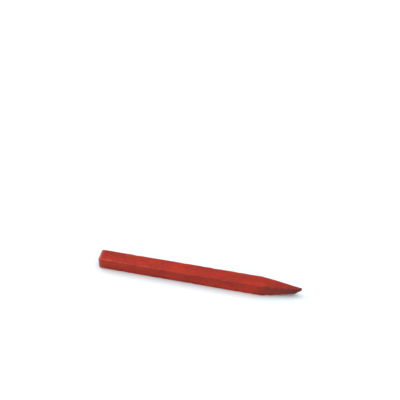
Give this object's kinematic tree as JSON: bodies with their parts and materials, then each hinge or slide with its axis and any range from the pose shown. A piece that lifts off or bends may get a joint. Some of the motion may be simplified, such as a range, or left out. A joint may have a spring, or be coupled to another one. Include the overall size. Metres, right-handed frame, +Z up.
{
  "type": "sealing wax stick",
  "caption": "Square cast stick of red sealing wax with a four-sided off-centre point, poured around a cotton wick, melted to seal letters and parcels.",
  "frame": {"origin": "on the surface that the stick lies on, under the middle of its bounding box", "axes": "+X along the stick from the butt to the point, +Y across it towards the side that the point leans to, +Z up"},
  "size_m": [0.165, 0.011, 0.011],
  "materials": {
    "wax": "cast red sealing wax, satin, slightly mottled",
    "cotton": "plied cotton, soaked with red wax"
  },
  "bodies": {
    "root": {"wax_bar": "wax", "wick": "cotton"}
  },
  "joints": []
}
